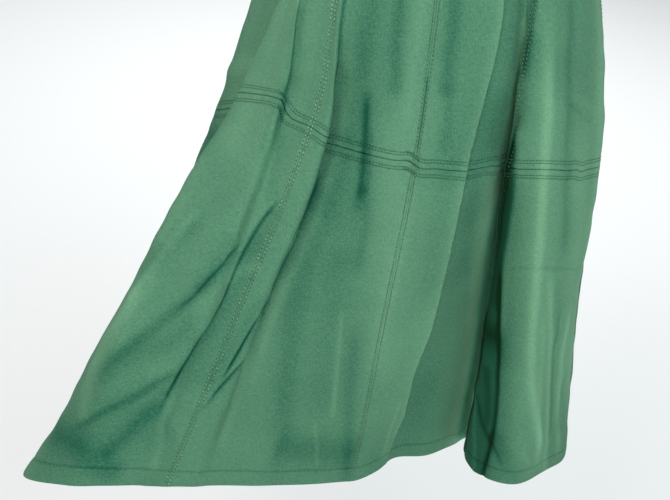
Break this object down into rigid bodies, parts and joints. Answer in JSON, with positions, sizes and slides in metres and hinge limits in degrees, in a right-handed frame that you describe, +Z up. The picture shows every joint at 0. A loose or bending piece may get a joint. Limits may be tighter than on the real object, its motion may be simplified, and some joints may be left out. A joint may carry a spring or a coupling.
{
  "type": "a-line skirt",
  "caption": "Long green a-line skirt in two tiers of stitched gores, hanging open and hollow from the waist with its hem swung to one side",
  "frame": {"origin": "centre of the waist opening, level with the top edge of the waistband", "axes": "+Z up, -Y the front of the skirt, +X towards the viewer's right when the front is looked at"},
  "size_m": [0.6377, 0.4755, 0.7068],
  "materials": {
    "cloth": "matte green twill",
    "zip_tape": "matte woven tape",
    "zip_slider": "satin green enamel"
  },
  "bodies": {
    "root": {"upper_gore_1": "cloth", "upper_gore_2": "cloth", "upper_gore_3": "cloth", "upper_gore_4": "cloth", "upper_gore_5": "cloth", "upper_gore_6": "cloth", "upper_gore_7": "cloth", "upper_gore_8": "cloth", "lower_gore_1": "cloth", "lower_gore_2": "cloth", "lower_gore_3": "cloth", "lower_gore_4": "cloth", "lower_gore_5": "cloth", "lower_gore_6": "cloth", "lower_gore_7": "cloth", "lower_gore_8": "cloth", "waistband": "cloth", "zip_tape": "zip_tape", "zip_slider": "zip_slider"}
  },
  "joints": []
}
